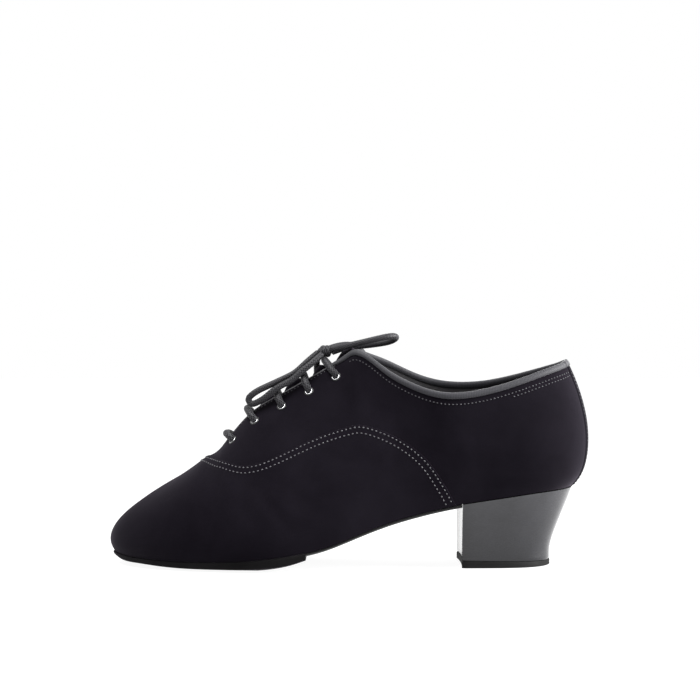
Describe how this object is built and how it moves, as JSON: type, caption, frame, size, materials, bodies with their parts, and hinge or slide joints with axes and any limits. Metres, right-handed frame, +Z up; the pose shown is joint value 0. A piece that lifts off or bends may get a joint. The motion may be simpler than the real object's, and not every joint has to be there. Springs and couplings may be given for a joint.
{
  "type": "ballroom dance shoe",
  "caption": "Laced men's ballroom dance shoe with a hollow nubuck upper, bound collar, suede forefoot sole and curved Cuban heel, standing empty on its sole.",
  "frame": {"origin": "centre of the shoe's outline in plan, on the floor that it stands on", "axes": "+X from the toe to the heel, +Y towards the inner (medial) side, +Z up"},
  "size_m": [0.282, 0.0953, 0.1352],
  "materials": {
    "nubuck": "matte black nubuck",
    "ribbon": "dark grey woven tape",
    "lining": "dark smooth lining leather",
    "suede": "black chrome suede, napped",
    "waist_leather": "black dressed leather",
    "heel_lacquer": "high gloss black lacquer",
    "top_piece": "matte black",
    "eyelet_metal": "bright nickel",
    "lace": "round black braid"
  },
  "bodies": {
    "root": {"upper": "nubuck", "collar_binding": "ribbon", "tongue": "nubuck", "insole": "lining", "outsole": "suede", "waist_sole": "waist_leather", "heel": "heel_lacquer", "heel_top_piece": "top_piece", "eyelet_lateral_1": "eyelet_metal", "eyelet_lateral_2": "eyelet_metal", "eyelet_lateral_3": "eyelet_metal", "eyelet_lateral_4": "eyelet_metal", "eyelet_lateral_5": "eyelet_metal", "eyelet_medial_1": "eyelet_metal", "eyelet_medial_2": "eyelet_metal", "eyelet_medial_3": "eyelet_metal", "eyelet_medial_4": "eyelet_metal", "eyelet_medial_5": "eyelet_metal", "lace_bar_1": "lace", "lace_bar_2": "lace", "lace_bar_3": "lace", "lace_bar_4": "lace", "lace_bar_5": "lace", "lace_knot": "lace", "lace_loop_front": "lace", "lace_loop_back": "lace", "lace_end_front": "lace", "lace_end_back": "lace"}
  },
  "joints": []
}
